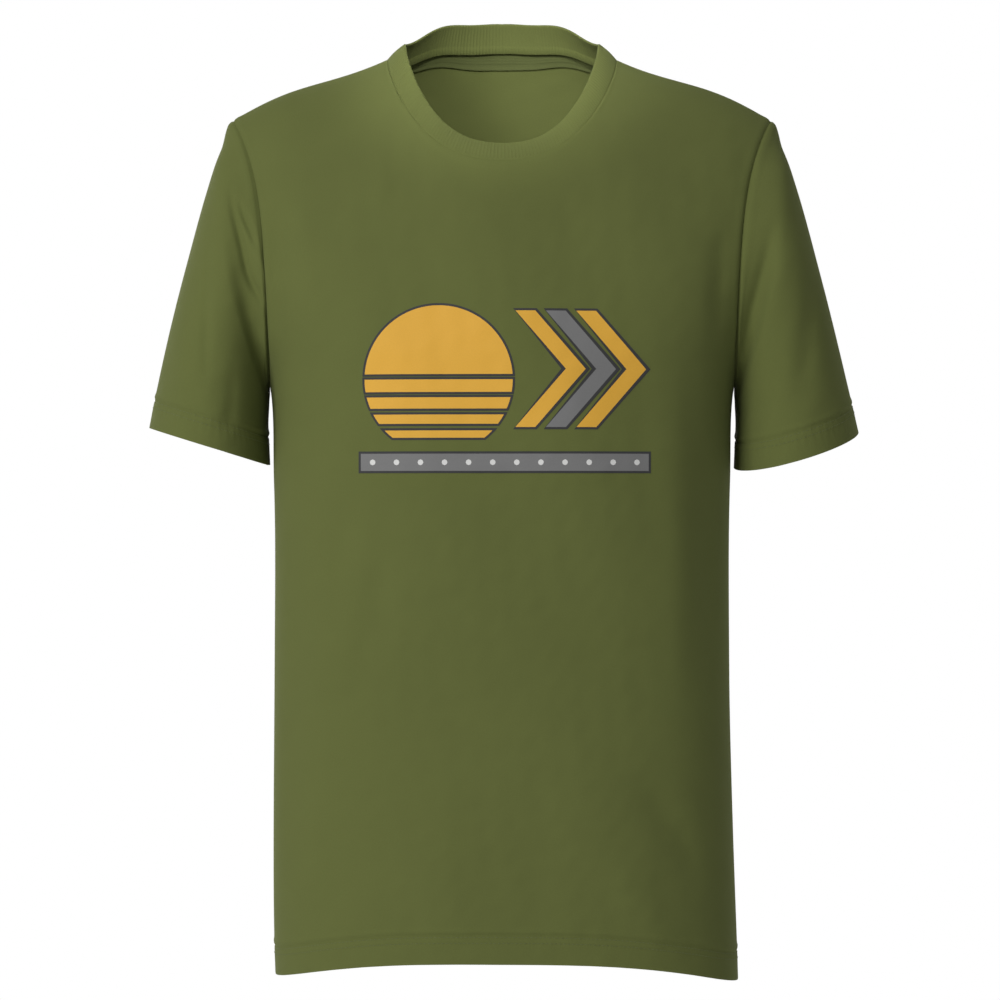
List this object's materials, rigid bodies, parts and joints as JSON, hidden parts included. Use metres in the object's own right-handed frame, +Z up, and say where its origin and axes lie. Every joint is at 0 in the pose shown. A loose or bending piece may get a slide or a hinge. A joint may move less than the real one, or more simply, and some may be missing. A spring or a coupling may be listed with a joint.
{
  "type": "t-shirt",
  "caption": "Short-sleeved crew-neck T-shirt in olive cotton jersey, shaped as worn, with ribbed collar, turned hems and inside tapes.",
  "frame": {"origin": "middle of the neck opening, at the height where the collar seam crosses the shoulder seams", "axes": "+Z up the wearer's body, -Y towards the front of the shirt, +X towards the wearer's left"},
  "size_m": [0.559, 0.2286, 0.7558],
  "materials": {
    "body_jersey": "matt cotton jersey",
    "collar_rib": "matt cotton rib knit",
    "seam_tape": "matt cotton tape",
    "sewing_thread": "satin polyester thread",
    "print_yellow": "soft matt screen print ink",
    "print_charcoal": "soft matt screen print ink",
    "print_grey": "soft matt screen print ink"
  },
  "bodies": {
    "root": {"front_panel": "body_jersey", "back_panel": "body_jersey", "left_sleeve": "body_jersey", "right_sleeve": "body_jersey", "neck_rib": "collar_rib", "neck_tape": "seam_tape", "left_shoulder_tape": "seam_tape", "right_shoulder_tape": "seam_tape"}
  },
  "joints": []
}
